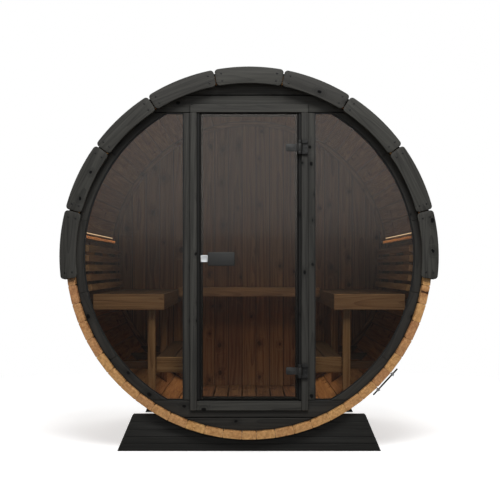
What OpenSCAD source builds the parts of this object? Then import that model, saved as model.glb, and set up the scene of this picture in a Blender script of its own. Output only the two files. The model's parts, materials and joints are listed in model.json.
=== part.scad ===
// Barrel sauna with a glazed front, on two cradles.
// Frame: origin on the ground under the middle of the barrel, X to the right,
// Y towards the rear, Z up. Sections across the barrel are drawn about its axis.

/* [Barrel] */
// Outer radius of the stave wall
barrel_r = 1000; // [850:10:1300]
// Length of the staves, front to rear
barrel_len = 1800; // [1500:50:3000]
// Thickness of a stave
stave_t = 42; // [30:1:55]
// Width of a stave at its inner face
stave_w = 100.7; // [80:0.1:130]
// Narrowest closing stave allowed
closing_min = 50; // [40:5:80]
// Chamfer along the edges of a stave
stave_chamfer = 4; // [1:0.5:6]
// Width of each steel band
band_w = 30; // [20:1:50]
// Thickness of each steel band
band_t = 2; // [1:0.5:4]
// Distance from the end of the staves to the middle of a band
band_inset = 190; // [160:5:300]
// Angle of the band tensioners below the horizontal
tensioner_angle = 42.6; // [30:0.1:55]
// Length of a tensioner rod
rod_len = 200; // [160:5:240]
// Diameter of a tensioner rod
rod_d = 10; // [8:1:14]

/* [Cradles] */
// Height of the cradles
cradle_h = 200; // [160:5:260]
// Thickness of wood left under the barrel
saddle_h = 70; // [55:5:110]
// Width of a cradle on the ground
cradle_foot_w = 1450; // [1300:10:1700]
// Width of a cradle at its top
cradle_top_w = 1280; // [1200:10:1500]
// Thickness of a cradle, front to rear
cradle_t = 60; // [40:5:100]
// Distance from the end of the staves to a cradle
cradle_inset = 50; // [20:5:70]
// Planks stacked in a cradle
cradle_planks = 5; // [3:1:8]

/* [Fascia and roof] */
// Arc boards in each fascia
fascia_count = 9; // [7:1:12]
// Angle taken by one arc board
fascia_pitch = 21.6; // [15:0.1:24]
// Height of an arc board
fascia_w = 90; // [70:5:120]
// How far the arc boards reach inside the outer radius
fascia_lap = 60; // [40:5:70]
// Thickness of an arc board
fascia_t = 25; // [18:1:40]
// Joint between two arc boards
fascia_joint = 5; // [2:1:8]
// Thickness of the roof covering
roof_t = 12; // [6:1:20]

/* [End walls] */
// Thickness of the front and rear walls
wall_t = 45; // [35:1:60]
// Distance from the end of the staves to a wall
wall_inset = 55; // [50:5:90]
// Width of the curved rim of the front wall
rim_w = 47; // [35:1:80]
// Height of the solid wall above and below the glass
header_h = 168; // [140:2:220]
// Width of the posts beside the door
post_w = 73; // [60:1:100]
// Thickness of the window panes
pane_t = 8; // [6:1:12]
// Width of the trim ring on the rear wall
trim_w = 28; // [20:1:45]
// Thickness of the trim ring on the rear wall
trim_t = 20; // [12:1:30]

/* [Door] */
// Width of the glass door
door_w = 525; // [430:5:640]
// Thickness of the glass door
door_t = 8; // [6:1:10]
// Gap between the glass door and its jamb
door_gap = 8.5; // [6:0.5:12]
// Gap above and below the glass door
door_end_gap = 10; // [6:1:15]
// Thickness of the jamb lining
jamb_t = 16; // [12:1:25]
// Width of the stop strips
stop_w = 16; // [12:1:25]
// Width of the upright casing boards
casing_w = 37; // [30:1:60]
// Thickness of the casing boards
casing_t = 17; // [12:1:25]
// Height of the casing board over the door
casing_head_h = 44; // [35:1:60]
// Height of the casing board under the door
casing_sill_h = 51; // [40:1:60]
// Widest opening angle of the door
door_open = 110; // [60:5:110]
// Height of the upper hinge above the barrel axis
hinge_up = 597; // [500:1:640]
// Depth of the lower hinge below the barrel axis
hinge_down = 629; // [500:1:640]
// Height of a hinge barrel
hinge_h = 76; // [60:1:100]
// Radius of a hinge barrel
hinge_r = 13; // [9:0.5:16]
// Length of the handle plate
handle_w = 147; // [100:1:180]
// Height of the handle plate
handle_h = 75; // [50:1:90]
// Width of the latch box
latch_w = 39; // [30:1:45]
// Height of the latch box
latch_h = 38; // [30:1:50]

/* [Floor] */
// Depth of the room below the top of the floor slats
floor_depth = 78; // [65:1:120]
// Width of a floor slat
floor_slat_w = 85; // [60:1:120]
// Gap between floor slats
floor_gap = 6; // [4:1:12]
// Thickness of a floor slat
floor_slat_t = 20; // [16:1:28]

/* [Benches] */
// Half of the aisle between the side benches
aisle_half = 475; // [400:5:520]
// Depth of the bench tops below the barrel axis
bench_drop = 210; // [150:5:260]
// Distance from the front wall to the benches
bench_set_back = 50; // [20:5:150]
// Thickness of the bench boards
board_t = 28; // [20:1:34]
// Height of the boards along the front of a bench
apron_h = 87; // [72:1:120]
// Width of a bench slat
slat_w = 84; // [60:1:110]
// Gap between bench slats
slat_gap = 8; // [5:1:15]
// Side of the square legs and rails
leg_w = 42; // [34:1:55]
// Half of the aisle between the lower steps
step_half = 330; // [325:1:380]
// Width of a lower step
step_w = 199; // [160:1:240]
// Depth of the step tops below the barrel axis
step_drop = 573; // [520:1:620]
// Distance from the front wall to the lower steps
step_set_back = 183; // [100:1:300]
// Depth of the cross bench at the rear
rear_bench_d = 330; // [250:5:450]
// Height of the board along the front of the rear bench
rear_apron_h = 59; // [45:1:90]
// Rise of the rear bench over the side benches
rear_rise = 14; // [0:1:30]

/* [Backrests and lights] */
// Slats in a backrest
back_count = 5; // [3:1:7]
// Height of a backrest slat
back_slat_h = 42; // [30:1:60]
// Gap between backrest slats
back_gap = 13; // [8:1:25]
// Thickness of a backrest slat
back_slat_t = 22; // [16:1:28]
// Depth of the curved posts behind a backrest
back_post_d = 41; // [30:1:60]
// Gap between the bench top and the lowest backrest slat
back_lift = 15; // [10:1:60]
// Height of a light rail
rail_h = 18; // [12:1:30]
// Depth of a light rail
rail_d = 33; // [20:1:50]
// Gap between a backrest and the light rail over it
rail_lift = 39; // [10:1:80]
// Depth of a light strip
strip_d = 8; // [6:1:12]
// Height of a light strip
strip_h = 14; // [12:1:20]

/* [Hidden] */

// Clearance between pieces that are fixed against each other
seat = 0.3;
// Clearance between staves, and between like pieces of one node
joint = 0.4;
// Facets of a drawn circle
round_fn = 240;

axis_z = saddle_h + barrel_r;
inner_r = barrel_r - stave_t;
wall_r = inner_r - seat;
half_len = barrel_len / 2;
full_turn = 360;
quarter_turn = 90;

// Staves: full ones around the barrel and a narrow one that closes it below
inner_round = 2 * PI * inner_r;
full_staves = floor((inner_round - closing_min) / stave_w);
stave_pitch = full_turn * stave_w / inner_round;
closing_angle = full_turn - full_staves * stave_pitch;
stave_total = full_staves + 1;
stave_groups = 6;

// Bands and tensioners
band_r = barrel_r + band_t;
tab_t = 4;
tab_h = 50;
tab_half_span = 55;
rod_r = barrel_r + 40;
nut_d = 18;
nut_t = 8;
nut_sides = 6;

// Roof and fascia arcs, as angles from the right-hand horizontal
roof_half_arc = fascia_count * fascia_pitch / 2;
roof_start = quarter_turn - roof_half_arc;
fascia_in_r = barrel_r - fascia_lap;
fascia_out_r = fascia_in_r + fascia_w;
roof_in_r = band_r + seat;
roof_out_r = roof_in_r + roof_t;

// Front wall, from outside to inside
front_face = -half_len + wall_inset;
front_back = front_face + wall_t;
rear_face = half_len - wall_inset;
rear_front = rear_face - wall_t;
rim_r = inner_r - rim_w;
glass_half_h = inner_r - header_h;
opening_half = door_w / 2 + door_gap + jamb_t;
post_out = opening_half + post_w;
rim_parts = 5;
pane_y = front_face + (wall_t - pane_t) / 2;

// Door
door_back = front_face - 5;
door_front = door_back - door_t;
door_half_h = glass_half_h - door_end_gap;
jamb_front = door_back;
stop_front = front_face + 5;
casing_front = front_face - casing_t;
casing_head_z = glass_half_h;
casing_sill_z = -glass_half_h - 5;
hinge_x = opening_half - 10;
hinge_y = casing_front - hinge_r - 2;
pin_r = 5;
pin_clear = 0.3;
knuckle_half = 20;
knuckle_gap = 1;
leaf_t = 6;
leaf_in_t = 4;
leaf_x0 = door_w / 2 - 61;
leaf_x1 = door_w / 2;
leaf_in_x1 = door_w / 2 - stop_w;
bolt_x = door_w / 2 - 31;
bolt_r = 7;
bracket_x0 = hinge_x + hinge_r + 3;
bracket_x1 = opening_half + casing_w - 3;
handle_t = 20;
handle_in_t = 18;
handle_z = -15;
latch_out = 2.5;
latch_t = 9;
latch_z = -13;
latch_x0 = -door_w / 2 - latch_out;
handle_x0 = latch_x0 + latch_w;

// Floor
floor_top = -(inner_r - floor_depth);
floor_under = floor_top - floor_slat_t;
floor_reach = wall_x(floor_under) - 2;
floor_pitch = floor_slat_w + floor_gap;
floor_side = floor((floor_reach - floor_slat_w / 2) / floor_pitch);
bearer_t = 45;
bearer_count = 3;
bearer_end = 150;

// Side benches
bench_top = -bench_drop;
bench_y0 = front_back + bench_set_back;
bench_slat_x0 = aisle_half + board_t + slat_gap;
bench_reach = wall_x(bench_top - apron_h) - leg_w / 2;
slat_pitch = slat_w + slat_gap;
bench_slats = floor((bench_reach - bench_slat_x0 + slat_gap) / slat_pitch);
bench_x1 = bench_slat_x0 + bench_slats * slat_pitch - slat_gap;
rail_top = bench_top - board_t - seat;
rail_under = rail_top - leg_w;
bench_rails = 4;
first_rail = 90;
last_rail = 170;

// Lower steps
step_top = -step_drop;
step_y0 = front_back + step_set_back;
step_x1 = step_half + step_w;
step_slats = 2;
step_rail_top = step_top - board_t - seat;
step_rails = 3;
step_first = 77;
step_last = 100;
leg_x0 = step_x1 + 1;
step_leg_x0 = step_half + 10;

// Rear bench
rear_bench_top = bench_top + rear_rise;
rear_bench_y0 = rear_front - rear_bench_d;
rear_slats = 3;

// Backrests, curved about the barrel axis
back_out_r = wall_r - back_post_d;
back_in_r = back_out_r - seat - back_slat_t;
back_mid_r = (back_out_r + back_in_r) / 2;
back_pitch = back_slat_h + back_gap;
back_z0 = bench_top + back_lift;
back_z1 = back_z0 + back_count * back_pitch - back_gap;
back_posts = 3;
back_post_w = 45;
back_post_end = 50;

// Lights
light_y0 = front_back + 30;
light_y1 = rear_front - 130;
strip_lift = 5;
rail_up = back_z1 + rail_lift + rail_h / 2;
strip_up = rail_up + rail_h / 2 + strip_lift + strip_h / 2;

// Colours
natural_wood = "#b98f5f";
bench_wood = "#8f6a44";
dark_wood = "#2e2c2a";
bitumen = "#232221";
steel = "#8d8f90";
glass = [0.28, 0.23, 0.19, 0.55];
black_metal = "#171717";
warm_light = "#ffd9a0";

// Half width of the room at a height over the axis
function wall_x(z) = sqrt(wall_r * wall_r - z * z);
// Place k of n, spread evenly from a to b
function spread(a, b, n, k) = a + (b - a) * k / (n - 1);

// Stands a section, drawn about the barrel axis, between two depths
module along(y0, y1) {
    translate([0, y1, axis_z])
        rotate([90, 0, 0])
            linear_extrude(y1 - y0)
                children();
}

// A block between two corners, with heights over the barrel axis
module block(from, to) {
    translate([from[0], from[1], axis_z + from[2]])
        cube([to[0] - from[0], to[1] - from[1], to[2] - from[2]]);
}

// The left side is the mirror image of the right side
module on_side(side) {
    if (side < 0) {
        mirror([1, 0, 0])
            children();
    } else {
        children();
    }
}

// Section of an arc board, less than a half turn
module arc_section(r0, r1, a0, a1) {
    reach = 2 * r1;
    mid = (a0 + a1) / 2;
    intersection() {
        difference() {
            circle(r1, $fn = round_fn);
            circle(r0, $fn = round_fn);
        }
        polygon([
            [0, 0],
            [reach * cos(a0), reach * sin(a0)],
            [reach * cos(mid), reach * sin(mid)],
            [reach * cos(a1), reach * sin(a1)]
        ]);
    }
}

// Arc boards laid end to end with a joint between them
module arc_row(r0, r1, a0, a1, n, gap) {
    pitch = (a1 - a0) / n;
    half_gap = gap / 2 / r1 * 180 / PI;
    for (k = [0 : n - 1])
        arc_section(r0, r1, a0 + k * pitch + half_gap, a0 + (k + 1) * pitch - half_gap);
}

// Section of the room, cut off above or below a height
module room_segment(r, z0, z1) {
    intersection() {
        circle(r, $fn = round_fn);
        translate([-r, z0])
            square([2 * r, z1 - z0]);
    }
}

// Section of one stave: flat faces and chamfered edges
module stave_section(span) {
    t = tan(span / 2);
    d0 = inner_r;
    d1 = barrel_r * cos(span / 2);
    c = stave_chamfer;
    w0 = d0 * t - joint / 2;
    w1 = d1 * t - joint / 2;
    wc0 = (d0 + c) * t - joint / 2;
    wc1 = (d1 - c) * t - joint / 2;
    polygon([
        [d0, c - w0], [d0 + c, -wc0], [d1 - c, -wc1], [d1, c - w1],
        [d1, w1 - c], [d1 - c, wc1], [d0 + c, wc0], [d0, w0 - c]
    ]);
}

// A sixth of the staves, counted from the bottom up the right side and over
module stave_group(g) {
    first = floor(g * stave_total / stave_groups);
    last = floor((g + 1) * stave_total / stave_groups) - 1;
    color(natural_wood)
        along(-half_len, half_len)
            for (k = [first : last])
                if (k < full_staves)
                    rotate(closing_angle / 2 + (k + 0.5) * stave_pitch - quarter_turn)
                        stave_section(stave_pitch);
                else
                    rotate(-quarter_turn)
                        stave_section(closing_angle);
}

// Places the local frame of a tensioner: X outwards, Y along the rod
module at_tensioner(y) {
    translate([0, y, axis_z])
        rotate([0, tensioner_angle, 0])
            rotate([90, 0, 0])
                children();
}

// Section of a band in its tensioner's frame: an open ring with two tabs
module band_section() {
    cut = tab_half_span - tab_t / 2;
    difference() {
        circle(band_r, $fn = round_fn);
        circle(barrel_r, $fn = round_fn);
        translate([0, -cut])
            square([2 * barrel_r, 2 * cut]);
    }
    for (s = [-1, 1])
        translate([barrel_r + seat, s * tab_half_span - tab_t / 2])
            square([tab_h, tab_t]);
}

// Steel band with two tabs turned outwards for its tensioner
module band(y) {
    color(steel)
        at_tensioner(y)
            difference() {
                linear_extrude(band_w, center = true)
                    band_section();
                translate([rod_r, 0, 0])
                    rotate([90, 0, 0])
                        cylinder(h = 4 * tab_half_span, r = rod_d / 2 + seat, center = true, $fn = round_fn);
            }
}

// Threaded rod with a nut outside each tab
module tension_rod(y) {
    nut_at = tab_half_span + tab_t / 2 + seat;
    at_tensioner(y)
        translate([rod_r, 0, 0])
            rotate([90, 0, 0]) {
                cylinder(h = rod_len, d = rod_d, center = true, $fn = round_fn);
                for (s = [-1, 1])
                    translate([0, 0, s * (nut_at + nut_t / 2)])
                        cylinder(h = nut_t, d = nut_d, center = true, $fn = nut_sides);
            }
}

module tension_rods() {
    color(steel)
        for (s = [-1, 1])
            tension_rod(s * (half_len - band_inset));
}

// Stacked planks with sloping ends, hollowed to carry the barrel
module cradle(y0) {
    plank_h = cradle_h / cradle_planks;
    slope = (cradle_foot_w - cradle_top_w) / 2 / cradle_h;
    foot = cradle_foot_w / 2;
    color(dark_wood)
        along(y0, y0 + cradle_t)
            difference() {
                for (k = [0 : cradle_planks - 1]) {
                    z0 = k * plank_h;
                    z1 = z0 + plank_h - joint;
                    x0 = foot - z0 * slope;
                    x1 = foot - z1 * slope;
                    translate([0, -axis_z])
                        polygon([[-x0, z0], [x0, z0], [x1, z1], [-x1, z1]]);
                }
                circle(barrel_r, $fn = round_fn);
            }
}

module fascia(y0) {
    color(dark_wood)
        along(y0, y0 + fascia_t)
            arc_row(fascia_in_r, fascia_out_r, roof_start, 180 - roof_start, fascia_count, fascia_joint);
}

// Covering over the upper part of the barrel, down to the fascia ends
module roof_cover() {
    color(bitumen)
        along(-half_len, half_len)
            arc_row(roof_in_r, roof_out_r, roof_start, 180 - roof_start, fascia_count, joint);
}

// Curved rim beside a window
module front_rim(side) {
    reach = asin(glass_half_h / inner_r) + 6;
    color(dark_wood)
        on_side(side)
            along(front_face, front_back)
                intersection() {
                    arc_row(rim_r, wall_r, -reach, reach, rim_parts, joint);
                    translate([0, -glass_half_h + seat])
                        square([inner_r, 2 * (glass_half_h - seat)]);
                }
}

module front_wall_top() {
    color(dark_wood)
        along(front_face, front_back)
            room_segment(wall_r, glass_half_h, inner_r);
}

module front_wall_bottom() {
    color(dark_wood)
        along(front_face, front_back)
            room_segment(wall_r, -inner_r, -glass_half_h);
}

module front_post(side) {
    half_h = glass_half_h - seat;
    color(dark_wood)
        on_side(side)
            block([opening_half, front_face, -half_h], [post_out, front_back, half_h]);
}

// Fixed pane between the post, the rim and the walls above and below
module window(side) {
    half_h = glass_half_h - seat;
    color(glass)
        on_side(side)
            along(pane_y, pane_y + pane_t)
                intersection() {
                    circle(rim_r - seat, $fn = round_fn);
                    translate([post_out + seat, -half_h])
                        square([rim_r, 2 * half_h]);
                }
}

// Boards around the door, on the face of the front wall
module door_casing() {
    out = opening_half + casing_w;
    sill_z0 = casing_sill_z - casing_sill_h;
    head_z1 = casing_head_z + casing_head_h;
    color(dark_wood) {
        for (side = [-1, 1])
            on_side(side)
                block([opening_half, casing_front, sill_z0], [out, front_face, casing_head_z - joint]);
        block([-out, casing_front, casing_head_z], [out, front_face, head_z1]);
        block([joint - opening_half, casing_front, sill_z0], [opening_half - joint, front_face, casing_sill_z]);
    }
}

module door_jamb() {
    half_h = glass_half_h - seat;
    color(dark_wood)
        for (side = [-1, 1])
            on_side(side)
                block(
                    [opening_half - jamb_t, jamb_front, -half_h],
                    [opening_half - seat, front_back, half_h]
                );
}

// Strips behind the edges of the closed door
module door_stop() {
    half_h = glass_half_h - seat;
    x1 = opening_half - jamb_t - seat;
    x0 = x1 - stop_w;
    color(dark_wood) {
        for (side = [-1, 1])
            on_side(side)
                block([x0, stop_front, -half_h], [x1, front_back, half_h]);
        for (s = [-1, 1])
            block(
                [joint - x0, stop_front, s > 0 ? half_h - stop_w : -half_h],
                [x0 - joint, front_back, s > 0 ? half_h : stop_w - half_h]
            );
    }
}

// Places children at the height of each hinge
module at_hinges() {
    for (z = [-hinge_down, hinge_up])
        translate([0, 0, axis_z + z])
            children();
}

// Fixed half of a hinge: casing plate, two knuckles and the pin
module hinge_brackets() {
    knuckle_h = hinge_h / 2 - knuckle_half - knuckle_gap;
    color(black_metal)
        at_hinges() {
            translate([bracket_x0, casing_front - leaf_t, -hinge_h / 2])
                cube([bracket_x1 - bracket_x0, leaf_t, hinge_h]);
            translate([hinge_x, hinge_y, -hinge_h / 2])
                cylinder(h = hinge_h, r = pin_r, $fn = round_fn);
            for (z = [-hinge_h / 2, hinge_h / 2 - knuckle_h]) {
                translate([hinge_x, hinge_y, z])
                    cylinder(h = knuckle_h, r = hinge_r, $fn = round_fn);
                translate([hinge_x, hinge_y, z])
                    cube([bracket_x1 - hinge_x, casing_front - hinge_y, knuckle_h]);
            }
        }
}

// Moving half of a hinge: knuckle, arm and the plates that clamp the glass
module hinge_leaves() {
    arm_w = hinge_x - leaf_x1;
    arm_y0 = hinge_y - hinge_r / 2;
    color(black_metal)
        at_hinges()
            difference() {
                union() {
                    translate([hinge_x, hinge_y, -knuckle_half])
                        cylinder(h = 2 * knuckle_half, r = hinge_r, $fn = round_fn);
                    translate([leaf_x1, arm_y0, -knuckle_half])
                        cube([arm_w, door_front - arm_y0 - seat, 2 * knuckle_half]);
                    translate([leaf_x0, door_front - leaf_t, -knuckle_half])
                        cube([leaf_x1 - leaf_x0, leaf_t - seat, 2 * knuckle_half]);
                    translate([leaf_x0, door_back + seat, -knuckle_half])
                        cube([leaf_in_x1 - leaf_x0, leaf_in_t - seat, 2 * knuckle_half]);
                    translate([bolt_x, door_back + leaf_in_t, 0])
                        rotate([90, 0, 0])
                            cylinder(h = door_t + leaf_in_t + leaf_t, r = bolt_r, $fn = round_fn);
                }
                translate([hinge_x, hinge_y, -hinge_h])
                    cylinder(h = 2 * hinge_h, r = pin_r + pin_clear, $fn = round_fn);
            }
}

module door_glass() {
    color(glass)
        difference() {
            block([-door_w / 2, door_front, -door_half_h], [door_w / 2, door_back, door_half_h]);
            at_hinges()
                translate([bolt_x, door_back + door_t, 0])
                    rotate([90, 0, 0])
                        cylinder(h = 3 * door_t, r = bolt_r + pin_clear, $fn = round_fn);
        }
}

// Plate outside the glass and pull inside it
module door_handle() {
    z0 = handle_z - handle_h / 2;
    z1 = handle_z + handle_h / 2;
    x1 = handle_x0 + handle_w;
    color(black_metal) {
        block([handle_x0, door_front - handle_t, z0], [x1, door_front - seat, z1]);
        block([handle_x0, door_back + seat, z0], [x1, door_back + handle_in_t, z1]);
    }
}

module door_latch() {
    z0 = latch_z - latch_h / 2;
    z1 = latch_z + latch_h / 2;
    color(steel) {
        block([latch_x0, door_front - latch_t, z0], [handle_x0 - seat, door_front - seat, z1]);
        block([stop_w - door_w / 2, door_back + seat, z0], [handle_x0 - seat, door_back + latch_t, z1]);
    }
}

module rear_wall() {
    color(dark_wood)
        along(rear_front, rear_face)
            circle(wall_r, $fn = round_fn);
}

// Bent trim around the inside of the rear wall
module rear_trim_ring() {
    parts = 8;
    color(natural_wood)
        along(rear_front - trim_t, rear_front - seat)
            arc_row_ring(wall_r - trim_w, wall_r, parts, joint);
}

module arc_row_ring(r0, r1, n, gap) {
    half_gap = gap / 2 / r1 * 180 / PI;
    span = full_turn / n;
    for (k = [0 : n - 1])
        arc_section(r0, r1, (k - 0.5) * span + half_gap, (k + 0.5) * span - half_gap);
}

module floor_slats() {
    color(natural_wood)
        for (k = [-floor_side : floor_side])
            block(
                [k * floor_pitch - floor_slat_w / 2, front_back + seat, floor_under + seat],
                [k * floor_pitch + floor_slat_w / 2, rear_front - trim_t - seat, floor_top]
            );
}

// Bearers with a curved underside that lies on the staves
module floor_bearers() {
    color(natural_wood)
        for (k = [0 : bearer_count - 1]) {
            y = spread(front_back + bearer_end, rear_front - bearer_end, bearer_count, k);
            along(y - bearer_t / 2, y + bearer_t / 2)
                room_segment(wall_r, -inner_r, floor_under);
        }
}

// Slats of a side bench, lengthwise
module bench(side) {
    color(bench_wood)
        on_side(side)
            for (k = [0 : bench_slats - 1])
                block(
                    [bench_slat_x0 + k * slat_pitch, bench_y0 + board_t + seat, bench_top - board_t],
                    [bench_slat_x0 + k * slat_pitch + slat_w, rear_front - trim_t - seat, bench_top]
                );
}

// Piece of frame between two corners, cut where it meets the curved wall
module to_wall(from, to) {
    intersection() {
        block(from, to);
        along(from[1] - 1, to[1] + 1)
            circle(wall_r, $fn = round_fn);
    }
}

// End board, apron, cross rails to the wall and legs of a side bench
module bench_frame(side) {
    apron_z0 = bench_top - apron_h;
    color(bench_wood)
        on_side(side) {
            block([aisle_half, bench_y0, apron_z0], [bench_x1, bench_y0 + board_t, bench_top]);
            block(
                [aisle_half, bench_y0 + board_t + joint, apron_z0],
                [aisle_half + board_t, rear_front - trim_t - seat, bench_top]
            );
            for (k = [0 : bench_rails - 1]) {
                y = spread(bench_y0 + first_rail, rear_front - last_rail, bench_rails, k);
                to_wall(
                    [aisle_half + board_t + joint, y - leg_w / 2, rail_under],
                    [inner_r, y + leg_w / 2, rail_top]
                );
                if (k % 2 == 0)
                    to_wall(
                        [leg_x0, y - leg_w / 2, -inner_r],
                        [leg_x0 + leg_w, y + leg_w / 2, rail_under - joint]
                    );
            }
        }
}

// Lower step: end board, two slats, rails to the wall and short legs
module step(side) {
    step_slat_w = (step_w - (step_slats - 1) * slat_gap) / step_slats;
    color(bench_wood)
        on_side(side) {
            block(
                [step_half, step_y0, step_top - apron_h],
                [step_x1, step_y0 + board_t, step_top]
            );
            for (k = [0 : step_slats - 1]) {
                x0 = step_half + k * (step_slat_w + slat_gap);
                block(
                    [x0, step_y0 + board_t + joint, step_top - board_t],
                    [x0 + step_slat_w, rear_front - trim_t - seat, step_top]
                );
            }
            for (k = [0 : step_rails - 1]) {
                y = spread(step_y0 + step_first, rear_front - step_last, step_rails, k);
                to_wall(
                    [step_half, y - leg_w / 2, step_rail_top - leg_w],
                    [inner_r, y + leg_w / 2, step_rail_top]
                );
                to_wall(
                    [step_leg_x0, y - leg_w / 2, -inner_r],
                    [step_leg_x0 + leg_w, y + leg_w / 2, step_rail_top - leg_w - joint]
                );
            }
        }
}

// Cross bench between the side benches
module rear_bench() {
    half = aisle_half - seat;
    y_back = rear_front - seat;
    deck_y0 = rear_bench_y0 + board_t + joint;
    deck_d = y_back - deck_y0;
    deck_slat = (deck_d - (rear_slats - 1) * slat_gap) / rear_slats;
    under = rear_bench_top - board_t;
    color(bench_wood) {
        block(
            [-half, rear_bench_y0, rear_bench_top - rear_apron_h],
            [half, rear_bench_y0 + board_t, rear_bench_top]
        );
        for (k = [0 : rear_slats - 1]) {
            y0 = deck_y0 + k * (deck_slat + slat_gap);
            block([-half, y0, under], [half, y0 + deck_slat, rear_bench_top]);
        }
        for (side = [-1, 1])
            on_side(side)
                block(
                    [half - board_t, deck_y0, under - leg_w - joint],
                    [half, y_back, under - joint]
                );
    }
}

// Slats that follow the curve of the wall, on curved posts
module backrest(side) {
    a0 = asin((back_z0 - joint) / back_out_r);
    a1 = asin((back_z1 + joint) / back_out_r);
    color(bench_wood)
        on_side(side) {
            for (k = [0 : back_count - 1])
                along(bench_y0, rear_front - trim_t - seat)
                    rotate(asin((back_z0 + k * back_pitch + back_slat_h / 2) / back_mid_r))
                        translate([back_in_r, -back_slat_h / 2])
                            square([back_slat_t, back_slat_h]);
            for (k = [0 : back_posts - 1]) {
                y = spread(bench_y0 + back_post_end, rear_front - last_rail, back_posts, k);
                along(y - back_post_w / 2, y + back_post_w / 2)
                    arc_section(back_out_r + seat, wall_r, a0, a1);
            }
        }
}

// A strip of square section fixed along the wall at a height over the axis
module wall_strip(side, up, h, d) {
    on_side(side)
        along(light_y0, light_y1)
            rotate(asin(up / wall_r))
                translate([wall_r - d, -h / 2])
                    square([d, h]);
}

module light_rails() {
    color(natural_wood)
        for (side = [-1, 1])
            wall_strip(side, rail_up, rail_h, rail_d);
}

module light_strips() {
    color(warm_light)
        for (side = [-1, 1])
            wall_strip(side, strip_up, strip_h, strip_d);
}

stave_group(0);  // staves_lower_right
stave_group(1);  // staves_right
stave_group(2);  // staves_upper_right
stave_group(3);  // staves_upper_left
stave_group(4);  // staves_left
stave_group(5);  // staves_lower_left
band(band_inset - half_len);  // band_front
band(half_len - band_inset);  // band_rear
tension_rods();
cradle(cradle_inset - half_len);  // cradle_front
cradle(half_len - cradle_inset - cradle_t);  // cradle_rear
fascia(-half_len - fascia_t);  // fascia_front
fascia(half_len);  // fascia_rear
roof_cover();
front_rim(-1);  // front_rim_left
front_rim(1);  // front_rim_right
front_wall_top();
front_wall_bottom();
front_post(-1);  // front_post_left
front_post(1);  // front_post_right
window(-1);  // window_left
window(1);  // window_right
door_casing();
door_jamb();
door_stop();
hinge_brackets();
door_glass();
door_handle();
door_latch();
hinge_leaves();
rear_wall();
rear_trim_ring();
floor_slats();
floor_bearers();
bench(-1);  // bench_left
bench(1);  // bench_right
bench_frame(-1);  // bench_frame_left
bench_frame(1);  // bench_frame_right
step(-1);  // step_left
step(1);  // step_right
rear_bench();
backrest(-1);  // backrest_left
backrest(1);  // backrest_right
light_rails();
light_strips();
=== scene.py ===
"""Finishes and fine pieces of a barrel sauna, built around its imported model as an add-on."""

import json
import math
import random

import bmesh
import bpy
from mathutils import Matrix, Vector


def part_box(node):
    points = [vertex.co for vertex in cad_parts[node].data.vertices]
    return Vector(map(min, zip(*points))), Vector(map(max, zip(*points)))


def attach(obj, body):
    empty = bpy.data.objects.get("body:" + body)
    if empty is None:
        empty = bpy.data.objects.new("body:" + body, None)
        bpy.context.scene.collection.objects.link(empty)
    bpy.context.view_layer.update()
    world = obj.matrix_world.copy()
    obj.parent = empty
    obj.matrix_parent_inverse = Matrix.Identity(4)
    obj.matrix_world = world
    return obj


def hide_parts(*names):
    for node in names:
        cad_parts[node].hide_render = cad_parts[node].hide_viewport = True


bl_info = {
    "name": "Barrel Sauna Finishes",
    "version": (1, 0, 0),
    "blender": (4, 5, 0),
    "location": "View3D > Sidebar > Sauna",
    "description": "Timber, roofing, fittings and glass of a barrel sauna",
    "category": "Object",
}

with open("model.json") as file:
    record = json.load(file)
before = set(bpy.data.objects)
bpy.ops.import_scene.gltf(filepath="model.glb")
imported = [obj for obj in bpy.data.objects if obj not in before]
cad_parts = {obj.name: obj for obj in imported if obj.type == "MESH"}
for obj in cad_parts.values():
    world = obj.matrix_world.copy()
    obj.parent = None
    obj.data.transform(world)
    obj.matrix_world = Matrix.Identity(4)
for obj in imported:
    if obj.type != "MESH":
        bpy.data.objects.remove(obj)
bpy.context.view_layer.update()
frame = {"nodes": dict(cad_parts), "record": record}
MM = 0.001
DOUBLES = 0.01 * MM  # corners closer than this are one
SHARP_EDGE = math.radians(28)  # edges sharper than this are rounded
FORWARD = Vector((0, -1, 0))
WHITE = (1, 1, 1, 1)

SLOT_OF = {row["node"]: row["material_slot"] for row in frame["record"]["subparts"]}
BODY_OF = {
    node: body
    for body, nodes in frame["record"]["behaviour"]["bodies"].items()
    for node in nodes
}


def low(node):
    """Lowest corner of a CAD node."""
    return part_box(node)[0]


def high(node):
    """Highest corner of a CAD node."""
    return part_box(node)[1]


AXIS_Z = (low("rear_wall").z + high("rear_wall").z) / 2


def radii(node):
    """Least and greatest distance of a node's corners from the barrel axis."""
    found = [math.hypot(v.co.x, v.co.z - AXIS_Z) for v in frame["nodes"][node].data.vertices]
    return min(found), max(found)


def angle_of(x, z):
    """Angle of a point about the barrel axis, from +X towards +Z."""
    return math.atan2(z - AXIS_Z, x)


def linear(code):
    """An sRGB hex colour as the linear colour that shaders take."""
    parts = [int(code[i : i + 2], 16) / 255 for i in (1, 3, 5)]
    curve = [p / 12.92 if p <= 0.04045 else ((p + 0.055) / 1.055) ** 2.4 for p in parts]
    return (*curve, 1.0)


# Settings


def colour_setting(name, text, code):
    """A colour that a user may change."""
    return bpy.props.FloatVectorProperty(
        name=name, description=text, subtype="COLOR", size=4, min=0, max=1, default=linear(code)
    )


def length_setting(name, text, millimetres):
    """A length that a user may change."""
    return bpy.props.FloatProperty(
        name=name, description=text, unit="LENGTH", min=0, default=millimetres * MM
    )


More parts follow.
